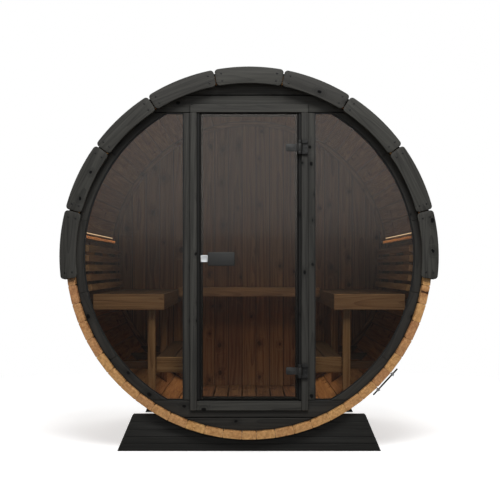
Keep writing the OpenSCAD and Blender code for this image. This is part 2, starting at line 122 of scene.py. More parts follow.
class SaunaTimberSettings(bpy.types.PropertyGroup):
    """Sizes and colours of the timber."""

    edge: length_setting("Edge", "Rounding along the edges of the boards", 2.5)
    wall_board: length_setting("Wall board", "Cover width of a board in the end walls", 96)
    groove: length_setting("Groove", "Open joint between two wall boards", 5)
    fascia_corner: length_setting("Fascia corner", "Radius at the corners of an arc board", 19)
    stave_pale: colour_setting("Stave pale", "Early wood of the staves", "#D8A56C")
    stave_dark: colour_setting("Stave dark", "Late wood of the staves", "#A46E3D")
    bench_pale: colour_setting("Bench pale", "Early wood of the benches", "#CBA274")
    bench_dark: colour_setting("Bench dark", "Late wood of the benches", "#966D45")
    lining: colour_setting("Lining", "Heat-treated boards of the rear wall and floor", "#CC9A6C")
    lining_dark: colour_setting("Lining dark", "Late wood of those boards", "#875A3A")
    black_pale: colour_setting("Stain pale", "Black stain over early wood", "#3E3D39")
    black_dark: colour_setting("Stain dark", "Black stain over late wood", "#252421")


class SaunaRoofSettings(bpy.types.PropertyGroup):
    """Sizes and colours of the shingles."""

    exposure: length_setting("Exposure", "Height of a course that shows", 143)
    overlap: length_setting("Overlap", "Height of a course under the next one", 45)
    tab: length_setting("Tab", "Width of one shingle tab", 332)
    slot: length_setting("Slot", "Gap between two tabs", 6)
    thick: length_setting("Thickness", "Thickness of a shingle", 3.5)
    ridge: length_setting("Ridge", "Width of the ridge caps", 300)
    colour: colour_setting("Shingle", "Mineral grit on the shingles", "#2C2B2B")


class SaunaFittingSettings(bpy.types.PropertyGroup):
    """Sizes and colours of the metalwork."""

    thread_pitch: length_setting("Thread pitch", "Spacing of the drawn threads", 3)
    thread_depth: length_setting("Thread depth", "Depth of the drawn threads", 0.8)
    screw: length_setting("Screw", "Diameter of a screw head", 10)
    leaf_corner: length_setting("Leaf corner", "Rounding at the end of a hinge leaf", 9)
    steel: colour_setting("Steel", "Stainless steel of bands and latch", "#B9BBBC")
    black: colour_setting("Black", "Powder coat of hinges and handle", "#232322")


class SaunaGlassSettings(bpy.types.PropertyGroup):
    """Tint of the glass and warmth of the lights."""

    tint: colour_setting("Tint", "Colour that one face of a pane lets through", "#D8D5D0")
    glow: colour_setting("Glow", "Colour of the light strips", "#FFDDB0")
    glow_strength: bpy.props.FloatProperty(
        name="Glow strength", description="Brightness of the light strips", min=0, default=1.7
    )


class SaunaStageSettings(bpy.types.PropertyGroup):
    """Camera, floor and lamps."""

    distance: bpy.props.FloatProperty(
        name="Distance", description="From the camera to the stave ends", unit="LENGTH", default=6.0
    )
    camera_drop: length_setting("Camera drop", "How far the camera is under the barrel axis", 64)
    lens: bpy.props.FloatProperty(name="Lens", description="Focal length in mm", default=79.3)
    shift_x: bpy.props.FloatProperty(name="Shift X", description="Sideways shift", default=0.0018)
    shift_y: bpy.props.FloatProperty(name="Shift Y", description="Upward shift", default=0.036)
    floor: colour_setting("Floor", "Plain pale floor", "#E6E6E6")


# Modelling by hand


def only(piece):
    """Makes one object the only selected one and the active one."""
    if bpy.context.object and bpy.context.object.mode != "OBJECT":
        bpy.ops.object.mode_set(mode="OBJECT")
    for other in list(bpy.context.selected_objects):
        other.select_set(False)
    piece.select_set(True)
    bpy.context.view_layer.objects.active = piece


def edit(piece, kind="VERT", test=None):
    """Opens a piece in edit mode with all of it selected, or only the items that pass a test."""
    only(piece)
    bpy.ops.object.mode_set(mode="EDIT")
    bpy.ops.mesh.select_mode(type=kind)
    bpy.ops.mesh.select_all(action="DESELECT" if test else "SELECT")
    if test:
        mesh = bmesh.from_edit_mesh(piece.data)
        for item in {"VERT": mesh.verts, "EDGE": mesh.edges, "FACE": mesh.faces}[kind]:
            if test(item):
                item.select_set(True)
        mesh.select_flush_mode()
        bmesh.update_edit_mesh(piece.data)


def leave():
    """Closes edit mode."""
    bpy.ops.object.mode_set(mode="OBJECT")


def shape(piece, kind, **settings):
    """Adds a modifier to a piece and applies it."""
    only(piece)
    modifier = piece.modifiers.new(kind.title(), kind)
    for key, value in settings.items():
        setattr(modifier, key, value)
    bpy.ops.object.modifier_apply(modifier=modifier.name)


def round_edges(piece, width, segments=2):
    """Rounds every sharp edge of a piece."""
    shape(
        piece, "BEVEL", width=width, segments=segments, limit_method="ANGLE",
        angle_limit=SHARP_EDGE, use_clamp_overlap=True,
    )


def outward(piece):
    """Merges doubles and turns every face outwards."""
    edit(piece)
    bpy.ops.mesh.remove_doubles(threshold=DOUBLES)
    bpy.ops.mesh.normals_make_consistent(inside=False)
    leave()


def settle(piece):
    """Puts a piece's place, turn and scale into its mesh."""
    only(piece)
    bpy.ops.object.transform_apply(location=True, rotation=True, scale=True)


def joined(pieces, name):
    """Several pieces as one."""
    only(pieces[0])
    for piece in pieces:
        piece.select_set(True)
    if len(pieces) > 1:
        bpy.ops.object.join()
    whole = bpy.context.view_layer.objects.active
    whole.name = name
    whole.data.name = name
    return whole


def about_axis(angle):
    """A turn about the barrel axis, from +X towards +Z."""
    centre = Vector((0, 0, AXIS_Z))
    turn = Matrix.Rotation(-angle, 4, "Y")
    return Matrix.Translation(centre) @ turn @ Matrix.Translation(-centre)


def cad_copy(node, name):
    """A merged copy of a CAD node, with its flat faces whole again."""
    mesh = frame["nodes"][node].data.copy()
    mesh.materials.clear()
    piece = bpy.data.objects.new(name, mesh)
    bpy.context.scene.collection.objects.link(piece)
    edit(piece)
    bpy.ops.mesh.remove_doubles(threshold=DOUBLES)
    bpy.ops.mesh.dissolve_limited(angle_limit=math.radians(0.5))
    leave()
    return piece


def solids_of(node):
    """The corner points of each solid of a CAD node."""
    piece = cad_copy(node, node + "_measure")
    solids = [[p.copy() for p in points] for _, points in boards_of(piece.data)]
    bpy.data.objects.remove(piece)
    return solids


def boxes_of(node):
    """Lowest and highest corner of each solid of a CAD node, from low to high."""
    boxes = [
        [Vector([pick(p[k] for p in points) for k in range(3)]) for pick in (min, max)]
        for points in solids_of(node)
    ]
    return sorted(boxes, key=lambda box: (round(box[0].z, 3), box[0].y))


def added(name):
    """The primitive just added, with its name and its place in its mesh."""
    piece = bpy.context.active_object
    piece.name = name
    settle(piece)
    return piece


def block(name, lower, upper):
    """A box between two corners, to be shaped further."""
    size = upper - lower
    bpy.ops.mesh.primitive_cube_add(size=1, location=(lower + upper) / 2, scale=size)
    return added(name)


def rod(name, start, end, radius, sides=24):
    """A round bar between two points, to be shaped further."""
    along = end - start
    bpy.ops.mesh.primitive_cylinder_add(
        vertices=sides, radius=radius, depth=along.length, location=(start + end) / 2,
        rotation=along.to_track_quat("Z", "Y").to_euler(),
    )
    return added(name)


# Grain: every board knows its own direction, place and shade


def boards_of(mesh):
    """The loose parts of a mesh, each as its vertex numbers and their points."""
    parent = list(range(len(mesh.vertices)))

    def find(i):
        while parent[i] != i:
            parent[i] = parent[parent[i]]
            i = parent[i]
        return i

    for edge in mesh.edges:
        a, b = (find(i) for i in edge.vertices)
        if a != b:
            parent[a] = b
    groups = {}
    for i in range(len(mesh.vertices)):
        groups.setdefault(find(i), []).append(i)
    return [(numbers, [mesh.vertices[i].co for i in numbers]) for numbers in groups.values()]


def middle_of(points):
    """Mean of some points."""
    return sum(points, Vector()) / len(points)


def length_of(points):
    """How far some points reach along the barrel."""
    return max(p.y for p in points) - min(p.y for p in points)


def round_the_barrel(point):
    """Direction at a point round the barrel, from +X towards +Z."""
    angle = angle_of(point.x, point.z)
    return Vector((-math.sin(angle), 0, math.cos(angle)))


def grain_axes(points):
    """Middle, across, depth and length directions of a board, square to the barrel or round it."""
    middle = middle_of(points)
    around = round_the_barrel(middle)
    outwards = Vector((around.z, 0, -around.x))
    frames = [
        [Vector((1, 0, 0)), Vector((0, 1, 0)), Vector((0, 0, 1))],
        [around, Vector((0, 1, 0)), outwards],
    ]

    def spans(axes):
        return [max(p.dot(a) for p in points) - min(p.dot(a) for p in points) for a in axes]

    best = min(frames, key=lambda axes: math.prod(spans(axes)))
    depth, across, along = (best[k] for _, k in sorted(zip(spans(best), range(3))))
    return middle, across, depth, along


def lay_grain(piece, seed):
    """Writes the grain coordinates, the shade and the sawn ends of each board of a piece."""
    mesh = piece.data
    chance = random.Random(seed)
    # A new attribute moves the others in memory, so all are made before any is written.
    mesh.attributes.new("grain", "FLOAT_VECTOR", "POINT")
    mesh.attributes.new("shade", "FLOAT", "POINT")
    mesh.attributes.new("sawn_end", "FLOAT", "FACE")
    grain, shade, ends = (mesh.attributes[name] for name in ("grain", "shade", "sawn_end"))
    along_of = {}
    for numbers, points in boards_of(mesh):
        middle, across, depth, along = grain_axes(points)
        # The pith lies 30 to 70 mm under a face, a little to one side, and runs slightly askew.
        pith = Vector((chance.uniform(-0.03, 0.03), chance.uniform(0.03, 0.07), 0))
        lean = (chance.uniform(-0.012, 0.012), chance.uniform(-0.02, 0.02))
        start = chance.uniform(0, 50)
        tone = chance.random()
        for i in numbers:
            offset = mesh.vertices[i].co - middle
            run = offset.dot(along)
            u = offset.dot(across) - pith.x + lean[0] * run
            w = offset.dot(depth) - pith.y + lean[1] * run
            grain.data[i].vector = (u, w, run + start)
            shade.data[i].value = tone
            along_of[i] = along
    for face in mesh.polygons:
        facing = abs(face.normal.dot(along_of[face.vertices[0]]))
        ends.data[face.index].value = 1.0 if facing > 0.7 else 0.0


# Materials


def node(tree, kind, inputs=None, out=0, **settings):
    """Adds one shader node with its values, links and settings; gives one output or all."""
    made = tree.nodes.new("ShaderNode" + kind)
    for key, value in settings.items():
        setattr(made, key, value)
    for key, value in (inputs or {}).items():
        if isinstance(value, bpy.types.NodeSocket):
            tree.links.new(value, made.inputs[key])
        else:
            made.inputs[key].default_value = value
    return made.outputs if out is None else made.outputs[out]


def new_material(name, build, *choices):
    """A material whose surface is what a function builds in its empty tree."""
    material = bpy.data.materials.new(name)
    material.use_nodes = True
    tree = material.node_tree
    tree.nodes.clear()
    node(tree, "OutputMaterial", {0: build(tree, *choices)}, None)
    return material


def knots(tree, grain, cell, size, share):
    """Knots scattered over a board's face: how much of a point is knot, and how far rings bend."""
    parts = node(tree, "SeparateXYZ", {0: grain}, None)
    # A knot is uneven, by up to 14 mm over every 22 mm, and longer along the board than across it.
    wobble = node(tree, "TexNoise", {"Vector": grain, "Scale": 45.0, "Detail": 2.0})
    bent = node(tree, "Math", {0: wobble, 1: 0.014, 2: parts[0]}, operation="MULTIPLY_ADD")
    squeezed = node(tree, "Math", {0: parts[2], 1: 0.7}, operation="MULTIPLY")
    flat = node(tree, "CombineXYZ", {0: bent, 1: squeezed})
    spot = node(
        tree, "TexVoronoi", {"Vector": flat, "Scale": 1 / cell, "Randomness": 0.9}, None,
        feature="F1", voronoi_dimensions="2D",
    )
    draw = node(tree, "SeparateColor", {0: spot["Color"]}, None)
    present = node(tree, "Math", {0: draw[0], 1: share}, operation="LESS_THAN")
    reach = node(tree, "MapRange", {0: draw[1], 3: 0.4 * size / cell, 4: size / cell})
    near = node(tree, "Math", {0: spot["Distance"], 1: reach}, operation="DIVIDE")
    # The knot with its firm rim, then the swing of the rings round it, out to four radii.
    fields = []
    for start, end, most, blend in (
        (0.75, 1.05, 1.0, "SMOOTHSTEP"),
        (0.6, 4.0, 2.6, "SMOOTHERSTEP"),
    ):
        field = node(
            tree, "MapRange", {0: near, 1: start, 2: end, 3: most, 4: 0.0},
            interpolation_type=blend,
        )
        fields.append(node(tree, "Math", {0: field, 1: present}, operation="MULTIPLY"))
    return fields


def planed_timber(tree, pale, dark, knot, look):
    """Planed softwood: growth rings about each board's pith, fibres, knots and painted shade at
    joints.
    """
    grain = node(tree, "Attribute", out="Vector", attribute_name="grain")
    shade = node(tree, "Attribute", out="Fac", attribute_name="shade")
    ends = node(tree, "Attribute", out="Fac", attribute_name="sawn_end")

    def noise(scales, detail):
        """Noise with so many marks a metre across, through and along the board."""
        marks = node(tree, "VectorMath", {0: grain, 1: scales}, operation="MULTIPLY")
        return node(tree, "TexNoise", {"Vector": marks, "Scale": 1.0, "Detail": detail})

    # Rings wander by up to four over 0.8 m of length, and swing round the knots.
    core, halo = knots(tree, grain, look["knot_cell"], look["knot_size"], look["knot_share"])
    cross = node(tree, "VectorMath", {0: grain, 1: (1, 1, 0)}, operation="MULTIPLY")
    radius = node(tree, "VectorMath", {0: cross}, "Value", operation="LENGTH")
    turns = node(tree, "Math", {0: radius, 1: look["ring"]}, operation="DIVIDE")
    wander = noise((9, 9, 1.3), 2.0)
    turns = node(tree, "Math", {0: wander, 1: 4.0, 2: turns}, operation="MULTIPLY_ADD")
    turns = node(tree, "Math", {0: turns, 1: halo}, operation="ADD")
    growth = node(tree, "Math", {0: turns}, operation="FRACT")
    late = node(tree, "Math", {0: growth, 1: 2.4}, operation="POWER")

    # Fibres are 4 mm wide and 140 mm long, drawn coarse to show, and streaks 14 mm and 0.5 m.
    fibre = noise((260, 260, 7), 3.0)
    share = fibre
    for part, weight in ((late, 0.8), (noise((70, 70, 1.8), 5.0), 2.6), (halo, 0.22)):
        share = node(tree, "Math", {0: part, 1: weight, 2: share}, operation="MULTIPLY_ADD")
    share = node(tree, "MapRange", {0: share, 1: 1.45, 2: 2.7, 3: 0.0, 4: 1.0})
    wood = node(tree, "Mix", {0: share, 6: pale, 7: dark}, 2, data_type="RGBA")
    wood = node(tree, "Mix", {0: core, 6: wood, 7: knot}, 2, data_type="RGBA")

    # Boards differ in shade, and end grain is speckled, because its pores soak up more stain.
    value = node(tree, "MapRange", {0: shade, 3: 0.73 - look["spread"], 4: 0.73 + look["spread"]})
    pores = node(tree, "Math", {0: noise((190, 190, 5), 2.0), 1: ends}, operation="MULTIPLY")
    for part, weight in ((noise((25, 25, 4), 4.0), 0.5), (pores, -0.7), (ends, 0.3)):
        value = node(tree, "Math", {0: part, 1: weight, 2: value}, operation="MULTIPLY_ADD")
    # Painted shade: ambient occlusion darkens the wood where boards meet and in recesses.
    painted_shade = node(tree, "AmbientOcclusion", {"Distance": look["soil"]}, "AO", samples=6)
    painted_shade = node(tree, "MapRange", {0: painted_shade, 1: 0.3, 2: 0.9, 3: 0.22, 4: 1.0})
    value = node(tree, "Math", {0: value, 1: painted_shade}, operation="MULTIPLY")
    # A darker board is also a little redder.
    hue = node(tree, "MapRange", {0: shade, 3: 0.492, 4: 0.507})
    wood = node(tree, "HueSaturation", {"Hue": hue, "Value": value, "Color": wood})

    # Dense late wood is smoother, and knots drink the finish, so they are dull.
    gloss = node(tree, "MapRange", {0: late, 3: look["rough"] + 0.06, 4: look["rough"] - 0.06})
    gloss = node(tree, "Math", {0: gloss, 1: core}, operation="MAXIMUM")
    height = node(tree, "Math", {0: fibre, 1: 0.6, 2: late}, operation="MULTIPLY_ADD")
    bump = node(tree, "Bump", {"Strength": 0.35, "Distance": 0.4 * MM, "Height": height})
    return node(
        tree, "BsdfPrincipled",
        {
            "Base Color": wood, "Roughness": gloss, "Normal": bump,
            "Specular IOR Level": look["specular"],
        },
    )


def shingles(tree, colour):
    """Bitumen shingles: black grit of crushed slate pressed into felt, with a shade per tab."""
    place = node(tree, "TexCoord", out="Object")
    shade = node(tree, "Attribute", out="Fac", attribute_name="shade")
    # Grit of 1 to 2 mm is too fine to show, so it is drawn as grains of about 4 mm.
    grit = node(tree, "TexVoronoi", {"Vector": place, "Scale": 260.0}, None, feature="F1")
    speck = node(tree, "SeparateColor", {0: grit["Color"]})
    # Clouds of 110 mm come from the way the grit is scattered.
    cloud = node(tree, "TexNoise", {"Vector": place, "Scale": 9.0, "Detail": 4.0})
    value = 0.3
    for part, weight in ((speck, 0.9), (cloud, 0.5), (shade, 0.3)):
        value = node(tree, "Math", {0: part, 1: weight, 2: value}, operation="MULTIPLY_ADD")
    tone = node(tree, "HueSaturation", {"Value": value, "Color": colour})
    dents = {"Strength": 0.7, "Distance": 1.0 * MM, "Height": grit["Distance"]}
    bump = node(tree, "Bump", dents, invert=True)
    return node(tree, "BsdfPrincipled", {"Base Color": tone, "Roughness": 0.88, "Normal": bump})


def rolled_steel(tree, colour, rough):
    """Stainless steel strip and rod: rolled, so it mirrors softly with fine streaks."""
    place = node(tree, "TexCoord", out="Object")
    # Streaks 1 mm wide and 50 mm long.
    streak = node(tree, "VectorMath", {0: place, 1: (20, 900, 20)}, operation="MULTIPLY")
    fine = node(tree, "TexNoise", {"Vector": streak, "Scale": 1.0, "Detail": 3.0})
    gloss = node(tree, "MapRange", {0: fine, 3: rough - 0.08, 4: rough + 0.12})
    look = {"Base Color": colour, "Metallic": 0.8, "Roughness": gloss}
    return node(tree, "BsdfPrincipled", look)


def powder_coat(tree, colour):
    """Powder coated steel: satin, with the slight orange peel of baked powder."""
    place = node(tree, "TexCoord", out="Object")
    # Dimples of 1.4 mm.
    peel = node(tree, "TexNoise", {"Vector": place, "Scale": 700.0, "Detail": 1.0})
    gloss = node(tree, "MapRange", {0: peel, 3: 0.42, 4: 0.56})
    bump = node(tree, "Bump", {"Strength": 0.25, "Distance": 0.1 * MM, "Height": peel})
    return node(
        tree, "BsdfPrincipled",
        {"Base Color": colour, "Roughness": gloss, "Normal": bump, "Specular IOR Level": 0.3},
    )


def bronze_glass(tree, tint):
    """Bronze float glass: tinted in the mass, a sharp mirror at a slant and a faint soft sheen."""
    through = node(tree, "BsdfTransparent", {"Color": tint})
    sheen = node(tree, "BsdfGlossy", {"Color": (1, 0.93, 0.88, 1), "Roughness": 0.21})
    mirror = node(tree, "BsdfGlossy", {"Color": WHITE, "Roughness": 0.02})
    hazed = node(tree, "MixShader", {0: 0.0145, 1: through, 2: sheen})
    slant = node(tree, "Fresnel", {"IOR": 1.08})
    return node(tree, "MixShader", {0: slant, 1: hazed, 2: mirror})


def opal_cover(tree, colour, strength):
    """Opal acrylic over a light strip: satin, and lit evenly from behind."""
    lit = {"Emission Color": colour, "Emission Strength": strength}
    return node(tree, "BsdfPrincipled", {"Base Color": colour, "Roughness": 0.5, **lit})


def seen_directly(tree, path):
    """1 for what the eye sees, straight or through glass, and 0 for what only throws light."""
    rays = {0: path["Is Camera Ray"], 1: path["Is Transmission Ray"]}
    return node(tree, "Math", rays, operation="MAXIMUM")


def pale_floor(tree, colour):
    """Plain matt floor that keeps the shadow near the sauna and is white to the eye farther out."""
    seen = seen_directly(tree, node(tree, "LightPath", out=None))
    place = node(tree, "TexCoord", out="Object")
    reach = node(tree, "VectorMath", {0: place}, "Value", operation="LENGTH")
    fade = {0: reach, 1: 1.6, 2: 4.0, 3: 0.0, 4: 1.0}
    far = node(tree, "MapRange", fade, interpolation_type="SMOOTHSTEP")
    far = node(tree, "Math", {0: far, 1: seen}, operation="MULTIPLY")
    lift = node(tree, "Math", {0: seen, 1: 0.5}, operation="MULTIPLY")
    # Light that the floor throws back would wash out the low black boards, so it throws back less.
    paint = node(tree, "Mix", {0: seen, 6: (0.3, 0.3, 0.3, 1), 7: colour}, 2, data_type="RGBA")
    matt = node(tree, "BsdfDiffuse", {"Color": paint})
    glow = node(tree, "Emission", {"Color": WHITE, "Strength": lift})
    near = node(tree, "AddShader", {0: matt, 1: glow})
    white = node(tree, "Emission", {"Color": WHITE, "Strength": 1.0})
    return node(tree, "MixShader", {0: far, 1: near, 2: white})


KNOT_BROWN = linear("#4A2C17")
KNOT_PALE = linear("#5F3C22")
KNOT_BLACK = linear("#050505")
FINISH = {}

# How a timber looks: ring spacing, roughness, shine, how much its boards differ in shade, how far
# painted shade reaches from a joint, and the spacing, the size and the share of its knots.
PLANED = {
    "ring": 6 * MM, "rough": 0.6, "specular": 0.35, "spread": 0.14, "soil": 85 * MM,
    "knot_cell": 0.15, "knot_size": 12 * MM, "knot_share": 0.3,
}
BENCH = {
    **PLANED, "rough": 0.55, "spread": 0.08, "soil": 30 * MM,
    "knot_cell": 0.3, "knot_size": 9 * MM, "knot_share": 0.1,
}
KNOTTY = {
    **PLANED, "ring": 10 * MM, "soil": 12 * MM, "spread": 0.2,
    "knot_cell": 0.12, "knot_size": 16 * MM, "knot_share": 0.32,
}
STAINED = {
    **PLANED, "specular": 0.22, "spread": 0.1, "soil": 20 * MM,
    "knot_cell": 0.09, "knot_size": 12 * MM, "knot_share": 0.32,
}
FLOORING = {**KNOTTY, "soil": 34 * MM}


def darker(colour, factor):
    """A colour scaled down, as a deeper coat of the same stain."""
    return (*(c * factor for c in colour[:3]), 1.0)


def make_finishes(scene):
    """Every finish of the sauna, by the record's material slots, and darker copies of some that
    paint shade.
    """
    timber, roof = scene.sauna_timber, scene.sauna_roof
    fitting, glass = scene.sauna_fitting, scene.sauna_glass
    stave = timber.stave_pale, timber.stave_dark
    bench = timber.bench_pale, timber.bench_dark
    lining = timber.lining, timber.lining_dark
    black = timber.black_pale, timber.black_dark
    for key, name, wood, shares, knot, look in (
        # Spruce baked to a warm honey brown, with late wood that stands out.
        ("natural_wood", "heat_treated_spruce", stave, (1, 1), KNOT_BROWN, PLANED),
        # Alder is fine and even, with few knots. A darker copy paints shade on the tops and long
        # boards of benches and steps.
        ("bench_wood", "planed_alder", bench, (1, 1), KNOT_BROWN, BENCH),
        ("bench_painted_shade", "alder_with_painted_shade", bench, (0.29, 0.29), KNOT_BROWN, BENCH),
        # Wall and floor boards are of a knotty grade, trodden darker on the floor.
        ("lining", "knotty_heat_treated_spruce", lining, (1, 1), KNOT_PALE, KNOTTY),
        ("flooring", "heat_treated_floor_spruce", lining, (0.8, 0.76), KNOT_BROWN, FLOORING),
        # A much darker copy of the lining paints shade on the beams under the benches and the posts
        # behind the backrests.
        ("lining_painted_shade", "lining_spruce_with_painted_shade", lining, (0.25, 0.25), KNOT_BROWN, PLANED),
        # A thin black stain lets the grain show as grey. Darker copies of it paint shade on the
        # recessed rims, on the low boards under the door, on the cradle planks under the barrel and
        # on the rebates.
        ("black_wood", "black_stained_spruce", black, (1, 1), KNOT_BLACK, STAINED),
        ("black_painted_shade", "black_stained_spruce_with_painted_shade", black, (0.66, 0.66), KNOT_BLACK, STAINED),
        ("black_cradle_painted_shade", "cradle_black_spruce_with_painted_shade", black, (0.36, 0.36), KNOT_BLACK, STAINED),
        ("black_rebate_painted_shade", "rebate_black_with_painted_shade", black, (0.16, 0.16), KNOT_BLACK, STAINED),
    ):
        pale, dark = (darker(colour, share) for colour, share in zip(wood, shares))
        FINISH[key] = new_material(name, planed_timber, pale, dark, knot, look)
    FINISH["roof_felt"] = new_material("bitumen_shingles", shingles, roof.colour)
    # Bands shine most, the latch is brushed, and oil turns the threaded rods nearly black.
    for key, name, share, rough in (
        ("band_steel", "rolled_stainless_steel", 1, 0.3),
        ("latch_steel", "satin_stainless_steel", 1, 0.4),
        ("dark_steel", "oiled_threaded_rod", 0.12, 0.4),
    ):
        FINISH[key] = new_material(name, rolled_steel, darker(fitting.steel, share), rough)
    # Black fittings: satin powder coat, a darker copy painting shade on the hinge brackets, dull
    # rubber.
    for key, name, share in (
        ("black_metal", "black_powder_coat", 1),
        ("black_bracket_painted_shade", "black_powder_coat_with_painted_shade", 0.45),
        ("rubber", "glazing_rubber", 0.25),
        ("black_screw", "black_screw_heads", 0.1),
    ):
        FINISH[key] = new_material(name, powder_coat, darker(fitting.black, share))
    FINISH["bronze_glass"] = new_material("bronze_float_glass", bronze_glass, glass.tint)
    FINISH["warm_light"] = new_material(
        "opal_strip_cover", opal_cover, glass.glow, glass.glow_strength
    )


def dress(piece, finish, body, smooth=None):
    """Gives a new piece its material, its shading and its body."""
    piece.data.materials.clear()
    piece.data.materials.append(FINISH[finish])
    if smooth:
        only(piece)
        bpy.ops.object.shade_smooth_by_angle(angle=math.radians(smooth))
    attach(piece, body)


# Finishes that differ from a node's slot; most are darker copies that paint shade on shaded parts.
FINISH_OF = {
    "cradle_front": "black_cradle_painted_shade", "cradle_rear": "black_cradle_painted_shade",
    "front_rim_left": "black_painted_shade", "front_rim_right": "black_painted_shade",
    "front_wall_bottom": "black_painted_shade", "door_jamb": "black_rebate_painted_shade", "door_stop": "black_rebate_painted_shade",
    "floor_slats": "flooring", "rear_trim_ring": "lining", "tension_rods": "dark_steel",
    "bench_left": "bench_painted_shade", "bench_right": "bench_painted_shade", "hinge_brackets": "black_bracket_painted_shade",
}


def finish_piece(piece, name, smooth=20):
    """Lets a finished piece stand for a CAD node, with the finish of that node's slot and its body.
    """
    slot = SLOT_OF[name]
    dress(piece, FINISH_OF.get(name, slot), BODY_OF[name], smooth)
    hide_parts(name)


# Timber


# What is planed off each long edge of a slat, to open the gaps.
PLANING = {"floor_slats": 2 * MM, "backrest_left": 2.5 * MM, "backrest_right": 2.5 * MM}
STAVE_EDGE = 0.6  # staves are eased less than the other boards
LONG_BOARD = 1.0  # only boards and slats along the barrel are longer than this
NEAR_WALL = 5 * MM  # the beams of a bench end within this of the barrel wall
FRONT_POST = 0.1  # the front post of a backrest starts within this of its front end
LEAST_BOARD = 8 * MM  # no narrower strip is left at the edge of a wall
REAR_CHAMFER = 3 * MM
FRONT_CHAMFER = 1.5 * MM
TONGUES = (0.995, 0.2, 0.995)  # the tongues keep a fifth of the wall's depth
BARE_DEPTH = 22 * MM  # from the inside, how deep the rear wall keeps its bare wood
FASCIA_EDGE = 3 * MM
FASCIA_SCREW = 9 * MM
SCREW_FROM_END = 32 * MM
SCREW_FROM_INSIDE = 24 * MM
SCREW_FROM_OUTSIDE = 26 * MM
BACKRESTS = ("backrest_left", "backrest_right")
BENCH_FRAMES = ("step_left", "step_right", "bench_frame_left", "bench_frame_right")
PLAIN_TIMBER = [
    "staves_lower_right", "staves_right", "staves_upper_right",
    "staves_upper_left", "staves_left", "staves_lower_left",
    "cradle_front", "cradle_rear", "front_rim_left", "front_rim_right",
    "front_post_left", "front_post_right", "door_casing", "door_jamb", "door_stop",
    "rear_trim_ring", "floor_slats", "floor_bearers",
    "bench_left", "bench_right", "bench_frame_left", "bench_frame_right",
    "step_left", "step_right", "rear_bench", "backrest_left", "backrest_right", "light_rails",
]


class SAUNA_OT_timber(bpy.types.Operator):
    """Rounds the edges of the boards and lays their grain"""

    bl_idname = "sauna.timber"
    bl_label = "Timber boards"

    def execute(self, context):
        edge = context.scene.sauna_timber.edge
        for name in PLAIN_TIMBER:
            piece = cad_copy(name, name + "_boards")
            if name in PLANING:
                plane_slats(piece, PLANING[name], name in BACKRESTS)
            round_edges(piece, edge * (STAVE_EDGE if SLOT_OF[name] == "natural_wood" else 1))
            lay_grain(piece, name)
            finish_piece(piece, name)
            # Long bench boards, beams and backrest posts get darker copies that paint shade.
            if name in BENCH_FRAMES:
                paint_bench_shade(piece)
            if name in BACKRESTS:
                paint_post_shade(piece)
        return {"FINISHED"}


def paint_bench_shade(piece):
    """Painted shade for a bench or step: darker bench wood on its long boards, darker lining on its
    beams.
    """
    farthest = max(abs(v.co.x) for v in piece.data.vertices)

    def finish(points):
        if length_of(points) > LONG_BOARD:
            return 1
        return 2 if max(abs(p.x) for p in points) > farthest - NEAR_WALL else 0

    paint_shade_on_parts(piece, finish)


def paint_post_shade(piece):
    """Painted shade, as darker lining, on the posts behind a backrest, except the one that closes
    its front end.
    """
    behind = min(v.co.y for v in piece.data.vertices) + FRONT_POST

    def finish(points):
        return 2 if length_of(points) < LONG_BOARD and min(p.y for p in points) > behind else 0

    paint_shade_on_parts(piece, finish)


def paint_shade_on_parts(piece, finish):
    """Adds the two finishes that paint shade to a piece and lets a test of each loose part choose.
    """
    mesh = piece.data
    mesh.materials.append(FINISH["bench_painted_shade"])
    mesh.materials.append(FINISH["lining_painted_shade"])
    chosen = {}
    for numbers, points in boards_of(mesh):
        index = finish(points)
        chosen.update((i, index) for i in numbers)
    for face in mesh.polygons:
        face.material_index = chosen[face.vertices[0]]


def plane_slats(piece, inset, curved):
    """Planes both long edges of every long slat, of a flat floor or of a curved backrest."""
    for _, points in boards_of(piece.data):
        if length_of(points) > LONG_BOARD:
            middle = middle_of(points)
            across = round_the_barrel(middle) if curved else Vector((1, 0, 0))
            for point in points:
                point -= across * math.copysign(inset, (point - middle).dot(across))


def cut_board(source, name, axis, start, end):
    """The slice of a piece between two planes, closed where it is cut."""
    piece = source.copy()
    piece.data = source.data.copy()
    piece.name = name
    bpy.context.scene.collection.objects.link(piece)
    for at, side in ((start, -1), (end, 1)):
        edit(piece)
        bpy.ops.mesh.bisect(
            plane_co=axis * at, plane_no=axis * side, use_fill=True, clear_outer=True
        )
        leave()
    return piece


def wall_of_boards(name, axis, first, pitch, gap, chamfer):
    """A wall as boards side by side on their tongues, each cut to the outline of the CAD node."""
    source = cad_copy(name, name + "_outline")
    reach = [v.co.dot(axis) for v in source.data.vertices]
    lowest, highest = min(reach), max(reach)
    boards = []
    for k in range(math.floor((lowest - first) / pitch), math.ceil((highest - first) / pitch)):
        start = max(first + k * pitch + gap / 2, lowest - gap)
        end = min(first + (k + 1) * pitch - gap / 2, highest + gap)
        if end - start > LEAST_BOARD:
            boards.append(cut_board(source, name + "_board", axis, start, end))
    wall = joined(boards, name + "_boards")
    round_edges(wall, chamfer, 1)
    # The outline itself, made thin, is the tongues that close the joints.
    middle = (low(name).y + high(name).y) / 2
    only(source)
    bpy.ops.transform.resize(value=TONGUES, center_override=(0, middle, AXIS_Z))
    settle(source)
    wall = joined([wall, source], name + "_boards")
    lay_grain(wall, name)
    finish_piece(wall, name)
    return wall


